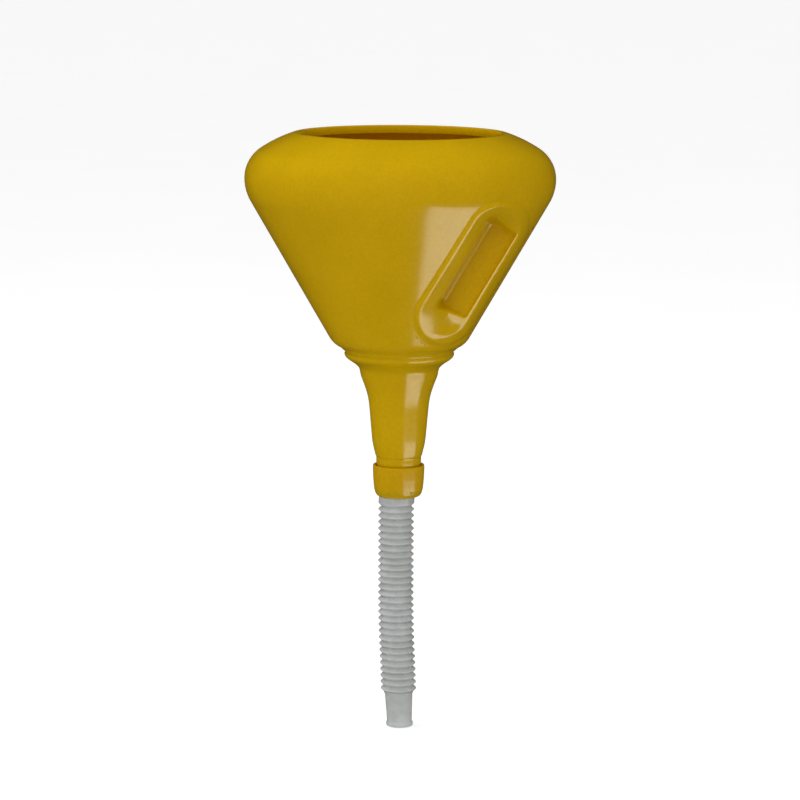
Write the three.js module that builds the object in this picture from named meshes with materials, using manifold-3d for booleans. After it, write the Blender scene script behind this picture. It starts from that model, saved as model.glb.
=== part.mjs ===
// Pouring funnel with an anti-splash bowl, a lift-out strainer and a flexible corrugated spout.
// Millimetres, +Z up. The origin is on the axis, level with the tip of the spout.
// The mould's parting plane is y = 0, and the two grip recesses mirror each other across it.

import * as THREE from 'three';
import { mergeVertices } from 'three/addons/utils/BufferGeometryUtils.js';
import Module from 'manifold-3d';

const wasm = await Module();
wasm.setup();

// Overall
const MOUTH_Z = 488;
const BOWL_SEGMENTS = 36;
const WALL = 2.3;

// Bowl outline, from the mouth's edge outwards and down. Angles are in degrees below the horizontal.
const MOUTH_EDGE_RADIUS = 84.8;
const MOUTH_HOLE_RADIUS = 80.5;
const SHOULDER_SLOPE = 17.7;
const SHOULDER_ARC_RADIUS = 111;
const SHOULDER_ARC_TURN = 15.5;
const SHOULDER_ARC_STEPS = 3;
const SIDE_ARC_RADIUS = 28.5;
const SIDE_ARC_STEPS = 6;
const CONE_ANGLE = 29.9;
const CONE_ARC_RADIUS = 36.2;
const CONE_ARC_STEPS = 4;
const CONE_LENGTH = 126.8;
const FOOT_ARC_RADIUS = 18.6;
const FOOT_ARC_TURN = 36;
const FOOT_ARC_STEPS = 4;

// Strainer seat and neck: radius and depth below the mouth
const GROOVE = [43.6, 176.4];
const SEAT_BEAD = [[44.2, 178], [44.2, 179.2]];
const SEAT_SHELF = [[43.2, 181], [38.8, 184.5], [34, 188], [32.4, 190]];
const NECK_CURVE = [
  [31.9, 192],
  [29.4, 201],
  [26.1, 210],
  [24.3, 220],
  [22.9, 235],
  [21.5, 250],
  [19.6, 259],
  [17.6, 268],
];
const NECK_CURVE_STEPS = 9;
const NECK_END_RADIUS = 16.6;
const NECK_END_DEPTH = 289.4;
const NECK_STEP_DEPTH = 269.5;
const NECK_BEAD_RADIUS = 16.9;
const NECK_BEAD_DEPTH = 285;
const NECK_BEAD_HEIGHT = 1.6;

// Grip recesses, as stadium outlines seen along Y, with their long axis parallel to the cone's side
const GRIP_CENTRE_X = 57.7;
const GRIP_CENTRE_DEPTH = 105.8;
const GRIP_RIM_HALF_LENGTH = 39;
const GRIP_RIM_RADIUS = 23;
const GRIP_RIM_HEIGHT = 2.4;
const GRIP_POCKET_HALF_LENGTH = 33;
const GRIP_POCKET_RADIUS = 14;
const GRIP_FLOOR_Y = 49.5;
const GRIP_FLOOR_LEAN = 7.6;
const GRIP_ARC_STEPS = 6;

// Strainer
const STRAINER_TOP_DEPTH = 174;
const STRAINER_RADIUS = 41;
const STRAINER_BORE_RADIUS = 37.4;
const STRAINER_LEDGE_RADIUS = 35.6;
const STRAINER_SIDE_DEPTH = 179.4;
const STRAINER_FOOT_DEPTH = 183.3;
const STRAINER_LEDGE_DEPTH = 179.6;
const SPOKE_COUNT = 4;
const SPOKE_WIDTH = 2.4;
const SPOKE_HEIGHT = 4;
const HUB_RADIUS = 6;
const HUB_SEGMENTS = 16;
const TAB_WIDTH = 18;
const TAB_HEIGHT = 18;
const TAB_THICKNESS = 2.6;
const TAB_ROOT = 1;
const GAUZE_RADIUS = 37;
const GAUZE_THICKNESS = 0.8;
const GAUZE_TOP_DEPTH = 178.4;

// Collar that holds the spout on the neck
const COLLAR_SEGMENTS = 32;
const COLLAR_TOP_Z = 218.3;
const COLLAR_BOTTOM_Z = 192.5;
const COLLAR_RADIUS = 21;
const COLLAR_EDGE_HEIGHT = 1.5;
const COLLAR_EDGE_INSET = 0.2;
const COLLAR_BORE_RADIUS = 18.6;
const COLLAR_HOLE_RADIUS = 15.3;
const COLLAR_LEDGE_HEIGHT = 2.6;
const COLLAR_LOW_RADIUS = 19.9;
const COLLAR_CORNER_RADIUS = 3.6;
const COLLAR_CORNER_STEPS = 3;
const LUG_COUNT = 8;
const LUG_PHASE = -12.5;
const LUG_REACH_RADIUS = 17.3;
const LUG_WIDTH = 5;
const LUG_BOTTOM_Z = 198.5;
const LUG_HEIGHT = 2.5;
const LUG_ROOT = 1;
const DIMPLE_RADIUS = 1.1;
const DIMPLE_DEPTH = 1;
const DIMPLE_Z = 197.3;
const DIMPLE_SEGMENTS = 8;

// Corrugated spout
const SPOUT_SEGMENTS = 16;
const CREST_RADIUS = 14.6;
const VALLEY_RADIUS = 12.1;
const SPOUT_WALL = 1.35;
const RIB_PITCH = 5.357;
const FIRST_CREST_Z = 181.4;
const RIBS_PER_SECTION = 4;
const SECTION_COUNT = 7;
const SECTION_END_GAP = 1.55;
const FOLD_HALF_HEIGHT = 1.25;
const FLANGE_RADIUS = 17.9;
const FLANGE_BOTTOM_Z = 195.4;
const FLANGE_TOP_Z = 198.2;
const CUFF_BORE_RADIUS = 13.3;
const NOZZLE_TOP_Z = 27;
const NOZZLE_TOP_RADIUS = 11.3;
const NOZZLE_END_RADIUS = 10.15;
const NOZZLE_LIP_RADIUS = 10.9;
const NOZZLE_LIP_Z = 4;
const NOZZLE_LIP_SLOPE = 1.6;
const NOZZLE_WALL = 1.6;

const BOWL_YELLOW = new THREE.MeshStandardMaterial({ color: 0xb99600, roughness: 0.42, metalness: 0 });
const COLLAR_YELLOW = new THREE.MeshStandardMaterial({ color: 0xc89600, roughness: 0.4, metalness: 0 });
const SPOUT_GREY = new THREE.MeshStandardMaterial({ color: 0x9a9c94, roughness: 0.35, metalness: 0 });
const FRAME_BLACK = new THREE.MeshStandardMaterial({ color: 0x24262a, roughness: 0.5, metalness: 0 });
const GAUZE_STEEL = new THREE.MeshStandardMaterial({ color: 0xa8a8a4, roughness: 0.35, metalness: 0.9 });

// An outline in (radius, height) that is drawn by arcs and lines which join smoothly
class Outline {
  constructor(radius, height, heading) {
    this.points = [new THREE.Vector2(radius, height)];
    this.heading = THREE.MathUtils.degToRad(heading);
  }

  get end() {
    return this.points[this.points.length - 1];
  }

  line(length) {
    const step = new THREE.Vector2(Math.cos(this.heading), Math.sin(this.heading));
    this.points.push(this.end.clone().addScaledVector(step, length));
    return this;
  }

  arc(radius, turn, steps) {
    const stepTurn = THREE.MathUtils.degToRad(turn) / steps;
    const chord = 2 * radius * Math.sin(Math.abs(stepTurn) / 2);
    for (let i = 0; i < steps; i += 1) {
      this.heading += stepTurn / 2;
      this.line(chord);
      this.heading += stepTurn / 2;
    }
    return this;
  }
}

function belowMouth([radius, depth]) {
  return new THREE.Vector2(radius, MOUTH_Z - depth);
}

// Moves an open outline sideways, to the right of its direction if distance is positive
function offsetOutline(points, distance) {
  return points.map((point, i) => {
    const before = points[Math.max(i - 1, 0)];
    const after = points[Math.min(i + 1, points.length - 1)];
    const arriving = point.clone().sub(before);
    const leaving = after.clone().sub(point);
    const first = i === 0 ? leaving : arriving;
    const last = i === points.length - 1 ? arriving : leaving;
    const normal = first.normalize().clone().add(last.normalize()).normalize();
    const stretch = distance / normal.dot(first);
    return new THREE.Vector2(point.x + normal.y * stretch, point.y - normal.x * stretch);
  });
}

// Revolves an outline about Z. It starts and ends on the axis, or closes on itself.
function revolve(points, segments) {
  const geometry = new THREE.LatheGeometry(points, segments);
  geometry.rotateX(Math.PI / 2);
  return geometry;
}

function toSolid(geometry) {
  const bare = geometry.clone();
  bare.deleteAttribute('normal');
  bare.deleteAttribute('uv');
  const merged = mergeVertices(bare, 1e-4);
  const vertProperties = Float32Array.from(merged.attributes.position.array);
  const triVerts = Uint32Array.from(merged.index.array);
  const solid = new wasm.Manifold(new wasm.Mesh({ numProp: 3, vertProperties, triVerts }));
  return solid.volume() < 0 ? toSolid(flipped(merged)) : solid;
}

// Turns every face of an indexed geometry over
function flipped(geometry) {
  const index = geometry.index.array;
  for (let i = 0; i < index.length; i += 3) {
    [index[i], index[i + 1]] = [index[i + 1], index[i]];
  }
  return geometry;
}

function revolvedSolid(points, segments) {
  return toSolid(revolve(points, segments));
}

// Closes an outline to the axis at both ends, so that it revolves into a full solid
function filled(points) {
  const start = new THREE.Vector2(0, points[0].y);
  const end = new THREE.Vector2(0, points[points.length - 1].y);
  return [start, ...points, end];
}

function meshOf(name, solid, material) {
  const { numProp, vertProperties, triVerts } = solid.getMesh();
  const positions = new Float32Array((vertProperties.length / numProp) * 3);
  for (let i = 0; i < positions.length / 3; i += 1) {
    positions.set(vertProperties.subarray(i * numProp, i * numProp + 3), i * 3);
  }
  const geometry = new THREE.BufferGeometry();
  geometry.setAttribute('position', new THREE.BufferAttribute(positions, 3));
  geometry.setIndex(new THREE.BufferAttribute(Uint32Array.from(triVerts), 1));
  geometry.computeVertexNormals();
  const mesh = new THREE.Mesh(geometry, material);
  mesh.name = name;
  return mesh;
}

// The bowl's shoulder, side and cone, down to the foot
function bowlOutline() {
  const outline = new Outline(MOUTH_EDGE_RADIUS, MOUTH_Z, -SHOULDER_SLOPE);
  outline.arc(SHOULDER_ARC_RADIUS, -SHOULDER_ARC_TURN, SHOULDER_ARC_STEPS);
  outline.arc(SIDE_ARC_RADIUS, SHOULDER_SLOPE + SHOULDER_ARC_TURN - 90, SIDE_ARC_STEPS);
  outline.arc(CONE_ARC_RADIUS, -CONE_ANGLE, CONE_ARC_STEPS);
  outline.line(CONE_LENGTH);
  outline.arc(FOOT_ARC_RADIUS, -FOOT_ARC_TURN, FOOT_ARC_STEPS);
  return outline.points;
}

function neckOutline() {
  const curve = new THREE.SplineCurve(NECK_CURVE.map(belowMouth));
  return [...SEAT_SHELF.map(belowMouth), ...curve.getPoints(NECK_CURVE_STEPS)];
}

function neckEndOutline() {
  const half = NECK_BEAD_HEIGHT / 2;
  return [
    [NECK_END_RADIUS, NECK_STEP_DEPTH],
    [NECK_END_RADIUS, NECK_BEAD_DEPTH - half],
    [NECK_BEAD_RADIUS, NECK_BEAD_DEPTH],
    [NECK_END_RADIUS, NECK_BEAD_DEPTH + half],
    [NECK_END_RADIUS, NECK_END_DEPTH],
  ].map(belowMouth);
}

// A stadium seen along Y, leaning with the cone's side, that runs right through the bowl
function gripPrism(radius, halfLength) {
  const reach = 2 * MOUTH_EDGE_RADIUS;
  const shape = new THREE.Shape();
  shape.absarc(0, halfLength, radius, 0, Math.PI, false);
  shape.absarc(0, -halfLength, radius, Math.PI, 2 * Math.PI, false);
  shape.closePath();
  const geometry = new THREE.ExtrudeGeometry(shape, {
    depth: 2 * reach,
    bevelEnabled: false,
    curveSegments: GRIP_ARC_STEPS,
  });
  geometry.translate(0, 0, -reach);
  geometry.rotateX(Math.PI / 2);
  geometry.rotateY(THREE.MathUtils.degToRad(CONE_ANGLE));
  geometry.translate(GRIP_CENTRE_X, 0, MOUTH_Z - GRIP_CENTRE_DEPTH);
  return toSolid(geometry);
}

// What the recesses take away. Their floors face along Y with a slight lean, and growth
// moves their sides and floors further into the bowl.
function gripPockets(growth) {
  const prism = gripPrism(GRIP_POCKET_RADIUS + growth, GRIP_POCKET_HALF_LENGTH);
  const size = 4 * MOUTH_EDGE_RADIUS;
  const front = box(size, size, size, 0, -size / 2, 0);
  front.rotateX(THREE.MathUtils.degToRad(GRIP_FLOOR_LEAN));
  front.rotateY(THREE.MathUtils.degToRad(CONE_ANGLE));
  front.translate(GRIP_CENTRE_X, growth - GRIP_FLOOR_Y, MOUTH_Z - GRIP_CENTRE_DEPTH);
  const back = front.clone().scale(1, -1, 1);
  return prism.intersect(toSolid(front).add(toSolid(back)));
}

function makeFunnelBody() {
  const bowl = bowlOutline();
  const neck = neckOutline();
  const outside = [...bowl, belowMouth(GROOVE), ...SEAT_BEAD.map(belowMouth), ...neck, ...neckEndOutline()];
  const rimSkin = revolvedSolid(filled(offsetOutline(bowl, -GRIP_RIM_HEIGHT)), BOWL_SEGMENTS);
  const rims = rimSkin.intersect(gripPrism(GRIP_RIM_RADIUS, GRIP_RIM_HALF_LENGTH));
  const outer = revolvedSolid(filled(outside), BOWL_SEGMENTS);
  const shell = outer.add(rims).subtract(gripPockets(0));

  const inside = offsetOutline([...bowl, belowMouth(SEAT_BEAD[1]), ...neck], WALL);
  const boreRadius = NECK_END_RADIUS - WALL;
  const boreEnd = new THREE.Vector2(boreRadius, MOUTH_Z - NECK_END_DEPTH - WALL);
  const boreStart = new THREE.Vector2(boreRadius, inside[inside.length - 1].y - WALL);
  const cavity = revolvedSolid(filled([...inside, boreStart, boreEnd]), BOWL_SEGMENTS);
  const openedCavity = cavity.subtract(gripPockets(WALL));
  const mouthCut = revolvedSolid(
    filled([
      new THREE.Vector2(MOUTH_HOLE_RADIUS, MOUTH_Z + WALL),
      new THREE.Vector2(MOUTH_HOLE_RADIUS, MOUTH_Z - 2 * WALL),
    ]),
    BOWL_SEGMENTS,
  );
  return meshOf('funnel_body', shell.subtract(openedCavity).subtract(mouthCut), BOWL_YELLOW);
}

function box(sizeX, sizeY, sizeZ, x, y, z) {
  const geometry = new THREE.BoxGeometry(sizeX, sizeY, sizeZ);
  geometry.translate(x, y, z);
  return geometry;
}

function makeStrainerFrame() {
  const ring = [
    [STRAINER_BORE_RADIUS, STRAINER_TOP_DEPTH],
    [STRAINER_RADIUS, STRAINER_TOP_DEPTH],
    [STRAINER_RADIUS, STRAINER_SIDE_DEPTH],
    [STRAINER_LEDGE_RADIUS, STRAINER_FOOT_DEPTH],
    [STRAINER_LEDGE_RADIUS, STRAINER_LEDGE_DEPTH],
    [STRAINER_BORE_RADIUS, STRAINER_LEDGE_DEPTH],
    [STRAINER_BORE_RADIUS, STRAINER_TOP_DEPTH],
  ].map(belowMouth);
  let solid = revolvedSolid(ring, BOWL_SEGMENTS);
  const top = MOUTH_Z - STRAINER_TOP_DEPTH;
  const hub = new THREE.CylinderGeometry(HUB_RADIUS, HUB_RADIUS, SPOKE_HEIGHT, HUB_SEGMENTS);
  hub.rotateX(Math.PI / 2);
  hub.translate(0, 0, top - SPOKE_HEIGHT / 2);
  solid = solid.add(toSolid(hub));
  const spokeLength = (STRAINER_BORE_RADIUS + STRAINER_RADIUS) / 2;
  for (let i = 0; i < SPOKE_COUNT; i += 1) {
    const spoke = box(spokeLength, SPOKE_WIDTH, SPOKE_HEIGHT, spokeLength / 2, 0, top - SPOKE_HEIGHT / 2);
    spoke.rotateZ((i * 2 * Math.PI) / SPOKE_COUNT);
    solid = solid.add(toSolid(spoke));
  }
  const tab = box(TAB_WIDTH, TAB_THICKNESS, TAB_HEIGHT + TAB_ROOT, 0, 0, top + (TAB_HEIGHT - TAB_ROOT) / 2);
  solid = solid.add(toSolid(tab));
  return meshOf('strainer_frame', solid, FRAME_BLACK);
}

function makeStrainerGauze() {
  const disc = new THREE.CylinderGeometry(GAUZE_RADIUS, GAUZE_RADIUS, GAUZE_THICKNESS, BOWL_SEGMENTS);
  disc.rotateX(Math.PI / 2);
  disc.translate(0, 0, MOUTH_Z - GAUZE_TOP_DEPTH - GAUZE_THICKNESS / 2);
  return meshOf('strainer_gauze', toSolid(disc), GAUZE_STEEL);
}

// A short pin that leaves a dimple in the collar's side, on +X
function makeDimple() {
  const length = 2 * DIMPLE_DEPTH;
  const pin = new THREE.CylinderGeometry(DIMPLE_RADIUS, DIMPLE_RADIUS, length, DIMPLE_SEGMENTS);
  pin.rotateZ(Math.PI / 2);
  pin.translate(COLLAR_LOW_RADIUS, 0, DIMPLE_Z);
  return pin;
}

function makeSpoutCollar() {
  const corner = new Outline(COLLAR_LOW_RADIUS, COLLAR_BOTTOM_Z + COLLAR_CORNER_RADIUS, -90);
  corner.arc(COLLAR_CORNER_RADIUS, -90, COLLAR_CORNER_STEPS);
  const ledgeZ = COLLAR_BOTTOM_Z + COLLAR_LEDGE_HEIGHT;
  const profile = [
    new THREE.Vector2(COLLAR_BORE_RADIUS, COLLAR_TOP_Z),
    new THREE.Vector2(COLLAR_RADIUS - COLLAR_EDGE_INSET, COLLAR_TOP_Z),
    new THREE.Vector2(COLLAR_RADIUS, COLLAR_TOP_Z - COLLAR_EDGE_HEIGHT),
    ...corner.points,
    new THREE.Vector2(COLLAR_HOLE_RADIUS, COLLAR_BOTTOM_Z),
    new THREE.Vector2(COLLAR_HOLE_RADIUS, ledgeZ),
    new THREE.Vector2(COLLAR_BORE_RADIUS, ledgeZ),
    new THREE.Vector2(COLLAR_BORE_RADIUS, COLLAR_TOP_Z),
  ];
  let solid = revolvedSolid(profile, COLLAR_SEGMENTS);
  const lugReach = COLLAR_BORE_RADIUS - LUG_REACH_RADIUS + LUG_ROOT;
  const lugX = LUG_REACH_RADIUS + lugReach / 2;
  const lugZ = LUG_BOTTOM_Z + LUG_HEIGHT / 2;
  for (let i = 0; i < LUG_COUNT; i += 1) {
    const turn = THREE.MathUtils.degToRad(LUG_PHASE - 90) + (i * 2 * Math.PI) / LUG_COUNT;
    const lug = box(lugReach, LUG_WIDTH, LUG_HEIGHT, lugX, 0, lugZ);
    lug.rotateZ(turn);
    const dimple = makeDimple();
    dimple.rotateZ(turn);
    solid = solid.add(toSolid(lug)).subtract(toSolid(dimple));
  }
  return meshOf('spout_collar', solid, COLLAR_YELLOW);
}

// The spout's outer radius at a distance from the bottom of a valley
function ribRadius(distance) {
  return VALLEY_RADIUS + ((CREST_RADIUS - VALLEY_RADIUS) * distance) / (RIB_PITCH / 2);
}

// A ring with an outer outline from top to bottom and a wall of even thickness behind it
function walledRing(outer, wall) {
  const inner = outer.map(([radius, z]) => [radius - wall, z]).reverse();
  return [...outer, ...inner, outer[0]].map(([radius, z]) => new THREE.Vector2(radius, z));
}

function crestZ(index) {
  return FIRST_CREST_Z - RIB_PITCH * index;
}

function foldZ(index) {
  return crestZ(index * RIBS_PER_SECTION - 0.5);
}

function makeSpoutCuff() {
  const endZ = foldZ(0) + SECTION_END_GAP;
  const shoulderZ = foldZ(0) + RIB_PITCH / 2;
  const endRadius = ribRadius(SECTION_END_GAP);
  const profile = [
    [CUFF_BORE_RADIUS, FLANGE_TOP_Z],
    [FLANGE_RADIUS, FLANGE_TOP_Z],
    [FLANGE_RADIUS, FLANGE_BOTTOM_Z],
    [CREST_RADIUS, FLANGE_BOTTOM_Z],
    [CREST_RADIUS, shoulderZ],
    [endRadius, endZ],
    [endRadius - SPOUT_WALL, endZ],
    [CUFF_BORE_RADIUS, shoulderZ],
    [CUFF_BORE_RADIUS, FLANGE_TOP_Z],
  ].map(([radius, z]) => new THREE.Vector2(radius, z));
  return meshOf('spout_cuff', revolvedSolid(profile, SPOUT_SEGMENTS), SPOUT_GREY);
}

function makeSpoutSection(index) {
  const outer = [[ribRadius(SECTION_END_GAP), foldZ(index) - SECTION_END_GAP]];
  for (let rib = 0; rib < RIBS_PER_SECTION; rib += 1) {
    const crest = index * RIBS_PER_SECTION + rib;
    outer.push([CREST_RADIUS, crestZ(crest)]);
    if (rib < RIBS_PER_SECTION - 1) {
      outer.push([VALLEY_RADIUS, crestZ(crest + 0.5)]);
    }
  }
  outer.push([ribRadius(SECTION_END_GAP), foldZ(index + 1) + SECTION_END_GAP]);
  const solid = revolvedSolid(walledRing(outer, SPOUT_WALL), SPOUT_SEGMENTS);
  return meshOf(`spout_section_${index + 1}`, solid, SPOUT_GREY);
}

function makeSpoutFold(index) {
  const edgeRadius = ribRadius(FOLD_HALF_HEIGHT);
  const outer = [
    [edgeRadius, foldZ(index) + FOLD_HALF_HEIGHT],
    [VALLEY_RADIUS, foldZ(index)],
    [edgeRadius, foldZ(index) - FOLD_HALF_HEIGHT],
  ];
  const solid = revolvedSolid(walledRing(outer, SPOUT_WALL), SPOUT_SEGMENTS);
  return meshOf(`spout_fold_${index + 1}`, solid, SPOUT_GREY);
}

function makeSpoutNozzle() {
  const lastCrest = SECTION_COUNT * RIBS_PER_SECTION;
  const outer = [
    [ribRadius(SECTION_END_GAP), foldZ(SECTION_COUNT) - SECTION_END_GAP],
    [CREST_RADIUS, crestZ(lastCrest)],
    [VALLEY_RADIUS, crestZ(lastCrest + 0.5)],
  ];
  const tube = [
    [NOZZLE_TOP_RADIUS, NOZZLE_TOP_Z],
    [NOZZLE_END_RADIUS, NOZZLE_LIP_Z],
    [NOZZLE_LIP_RADIUS, NOZZLE_LIP_Z - NOZZLE_LIP_SLOPE],
    [NOZZLE_LIP_RADIUS, 0],
  ];
  const boreEnd = NOZZLE_END_RADIUS - NOZZLE_WALL;
  const bore = [
    [boreEnd, 0],
    [NOZZLE_TOP_RADIUS - NOZZLE_WALL, NOZZLE_TOP_Z],
  ];
  const innerRibs = outer.map(([radius, z]) => [radius - SPOUT_WALL, z]).reverse();
  const profile = [...outer, ...tube, ...bore, ...innerRibs, outer[0]];
  const points = profile.map(([radius, z]) => new THREE.Vector2(radius, z));
  return meshOf('spout_nozzle', revolvedSolid(points, SPOUT_SEGMENTS), SPOUT_GREY);
}

const strainer = new THREE.Group();
strainer.add(makeStrainerFrame(), makeStrainerGauze());

const spout = new THREE.Group();
spout.add(makeSpoutCuff());
for (let index = 0; index < SECTION_COUNT; index += 1) {
  spout.add(makeSpoutFold(index), makeSpoutSection(index));
}
spout.add(makeSpoutFold(SECTION_COUNT), makeSpoutNozzle());

const funnel = new THREE.Group();
funnel.add(makeFunnelBody(), strainer, makeSpoutCollar(), spout);

export default funnel;
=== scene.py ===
"""Pouring funnel: a bowl with a splash guard and grip recesses, a strainer, and a flexible ribbed spout.

The script works in millimetres and turns them into metres when a mesh is made. Depths are measured
downwards from the mouth, and z upwards from the open end of the spout. Recesses mirror across y = 0.
"""
import math

import bmesh
import bpy
import numpy as np
from mathutils import Matrix, Vector
from mathutils.geometry import delaunay_2d_cdt


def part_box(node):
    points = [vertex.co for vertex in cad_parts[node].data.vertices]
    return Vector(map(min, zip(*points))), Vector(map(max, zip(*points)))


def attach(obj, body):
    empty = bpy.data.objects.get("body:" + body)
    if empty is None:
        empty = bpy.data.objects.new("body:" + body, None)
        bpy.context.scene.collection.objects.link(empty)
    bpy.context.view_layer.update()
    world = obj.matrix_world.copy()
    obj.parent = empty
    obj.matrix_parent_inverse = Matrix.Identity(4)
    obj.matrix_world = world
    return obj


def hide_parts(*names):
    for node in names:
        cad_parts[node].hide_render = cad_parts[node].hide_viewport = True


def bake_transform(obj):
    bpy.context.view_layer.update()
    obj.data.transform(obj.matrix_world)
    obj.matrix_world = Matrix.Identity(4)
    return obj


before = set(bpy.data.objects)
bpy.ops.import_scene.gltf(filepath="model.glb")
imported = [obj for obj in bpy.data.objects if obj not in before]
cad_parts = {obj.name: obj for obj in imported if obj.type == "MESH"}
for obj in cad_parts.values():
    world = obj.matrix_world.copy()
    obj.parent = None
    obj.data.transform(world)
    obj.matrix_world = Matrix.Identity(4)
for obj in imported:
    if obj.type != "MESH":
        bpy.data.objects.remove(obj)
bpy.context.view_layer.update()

MM = 0.001
MOUTH_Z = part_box("funnel_body")[1].z / MM

# Bowl outline from the mouth's edge. Headings are degrees below the horizontal.
WALL = 2.3
MOUTH_EDGE_RADIUS = 84.8
MOUTH_HOLE_RADIUS = 80.5
LIP_DEPTH = 6.6
SHOULDER_HEADING = 17.7
SHOULDER_ARC = (111, 15.5)
SIDE_ARC_RADIUS = 28.5
CONE_ANGLE = 29.9
CONE_ARC_RADIUS = 36.2
CONE_LENGTH = 126.8
FOOT_ARC = (18.6, 36)
ROW_STEP = 1.3

# Strainer seat, neck and the neck's end inside the collar, as radius and depth
SEAT = [(43.75, 176.4), (43.75, 177), (44.3, 177.9), (44.3, 179.1), (43.4, 180.9)]
SHELF = [(41.2, 182.8), (36.2, 186.2), (32.8, 189.6), (31.9, 192)]
NECK = [
    (31.9, 192), (31, 196.5), (29.4, 200.8), (26.2, 210), (24.4, 219),
    (22.9, 235), (21.5, 250), (19.7, 258.5), (18.9, 261.6), (18.3, 262.6),
]
NECK_END = [
    (18.2, 264), (18.25, 267), (17.8, 269.5), (16.6, 272.5), (16.6, 284.2),
    (16.9, 285), (16.6, 285.8), (16.6, 289.0), (16.2, 289.4),
]
NECK_BORE = [(14.3, 276), (14.3, 289.1), (14.6, 289.4)]

# Grip recesses, seen along Y. The long axis leans with the cone's side.
GRIP_CENTRE = (57.7, 105.8)
GRIP_LEAN = math.radians(CONE_ANGLE)
GRIP_RIM_HALF = 39
GRIP_RIM_RADIUS = 27
GRIP_RIM_NARROWING = 1.07
# Rim profiles on the inward and outward side, as distance from its middle line and height
GRIP_INNER_RIM = [
    (27, 0), (25.2, 1.4), (23.7, 2.25), (22.7, 2.4), (21.4, 2.1), (17.8, 0.8), (10, -2.0), (0, -5.5),
]
GRIP_OUTER_RIM = [
    (27, 0), (25.4, 0.9), (23.8, 1.4), (21, 1.6), (18.2, 1.6), (15.2, 0.5), (10, -2.0), (0, -5.5),
]
GRIP_FLOOR_CENTRE = (2.3, 4.0)
GRIP_FLOOR_HALF = (11.0, 38.0)
GRIP_FLOOR_Y = 47.5
GRIP_FLOOR_SLOPE = 0.133
GRIP_CREASE_DEPTH = 1.0
GRIP_SIDE_STEEPNESS = 6.2
GRIP_CHAMFER = (0.87, 1.9)
GRIP_END_STEEPNESS = (4.5, 5.0)
GRIP_EDGE_SOFTNESS = 7.0
GRIP_END_FILLET = 6.0
WINDOW_TURN = 84
WINDOW_COLUMNS = 104
WINDOW_DEPTHS = (40, 172)
PLAIN_COLUMN_TURN = 2.4
TURN_SCALE = 90.0

# Spout
RIB_PITCH = 5.357
FIRST_CREST_Z = 181.4
RIBS_PER_SECTION = 4
SECTION_COUNT = 7
CREST_RADIUS = 14.6
VALLEY_RADIUS = 12.1
SPOUT_WALL = 1.1
SPOUT_SEGMENTS = 72
# How far the spout leans along X at each height, as the soft tube hangs in the photo
SPOUT_DRIFT = [
    (0, 1.9), (45, 0.4), (90, -1.4), (150, -1.8), (180, -1.8), (188, -1.6), (193, -1.1), (198.5, -0.5),
]
# Places on one rib, as shares of the pitch, closer together round the crest and the valley
RIB_PLACES = [
    0, 0.025, 0.055, 0.1, 0.2, 0.3, 0.4, 0.445, 0.475,
    0.5, 0.525, 0.555, 0.6, 0.7, 0.8, 0.9, 0.945, 0.975,
]

# Collar
COLLAR_SEGMENTS = 288
DIMPLE_COUNT = 8
DIMPLE_PHASE = math.radians(-102.5)
DIMPLE_HEIGHT = 4.9
DIMPLE_DEPTH = 0.75
DIMPLE_REACH = 1.25

# Camera: lens in millimetres, angles in degrees, side and back in metres, rise over the mouth in millimetres
CAMERA_LENS = 135
CAMERA_TILT = 9.27
CAMERA_ROLL = 0.327
CAMERA_SIDE = 0.0008
CAMERA_BACK = 2.4
CAMERA_RISE = 175

# Light. The card glows in reflections only, and gives the bright panes on the cone and the neck.
WORLD_DIFFUSE = (0.54, 0.54, 0.54)
WORLD_GLOSSY = (0.008, 0.008, 0.008)
WORLD_CAMERA = (1.0, 1.0, 1.0)
CARD_CORNERS = [(0.10, -0.17), (0.18, -0.42), (0.25, -0.61), (0.70, -0.16), (0.39, -0.02)]
CARD_STRENGTH = 3.8
CARD_HEIGHT = 0.004
FLOOR_HALF_SIZE = 40
FLOOR_GAP = 0.0005


def metres(points):
    return np.asarray(points, float) * MM


class Outline:
    """A line in (radius, depth) made of arcs and straight stretches that join smoothly."""

    def __init__(self, radius, depth, heading):
        self.points = [(radius, depth)]
        self.heading = math.radians(heading)

    def _step(self, length):
        radius, depth = self.points[-1]
        across, down = math.cos(self.heading) * length, math.sin(self.heading) * length
        self.points.append((radius + across, depth + down))

    def line(self, length):
        count = math.ceil(length / ROW_STEP)
        for _ in range(count):
            self._step(length / count)
        return self

    def arc(self, radius, turn):
        turn = math.radians(turn)
        count = math.ceil(abs(radius * turn) / ROW_STEP)
        for _ in range(count):
            self.heading += turn / count / 2
            self._step(2 * radius * math.sin(abs(turn) / count / 2))
            self.heading += turn / count / 2
        return self


def spline(points, step):
    """A smooth line through the points, sampled about every step."""
    p = np.asarray(points, float)
    p = np.vstack([2 * p[0] - p[1], p, 2 * p[-1] - p[-2]])
    made = []
    for a, b, c, d in zip(p[:-3], p[1:-2], p[2:-1], p[3:]):
        count = max(2, math.ceil(np.linalg.norm(c - b) / step))
        for t in np.arange(count) / count:
            square = (2 * a - 5 * b + 4 * c - d) * t**2
            cube = (3 * b - a - 3 * c + d) * t**3
            made.append(0.5 * (2 * b + (c - a) * t + square + cube))
    made.append(p[-2])
    return np.array(made)


def offset_line(points, distance):
    """The points moved sideways, to the right of the line's direction as (radius, depth) are drawn."""
    p = np.asarray(points, float)
    along = np.gradient(p, axis=0)
    along /= np.linalg.norm(along, axis=1)[:, None]
    return p + distance * np.stack([-along[:, 1], along[:, 0]], 1)


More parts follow.
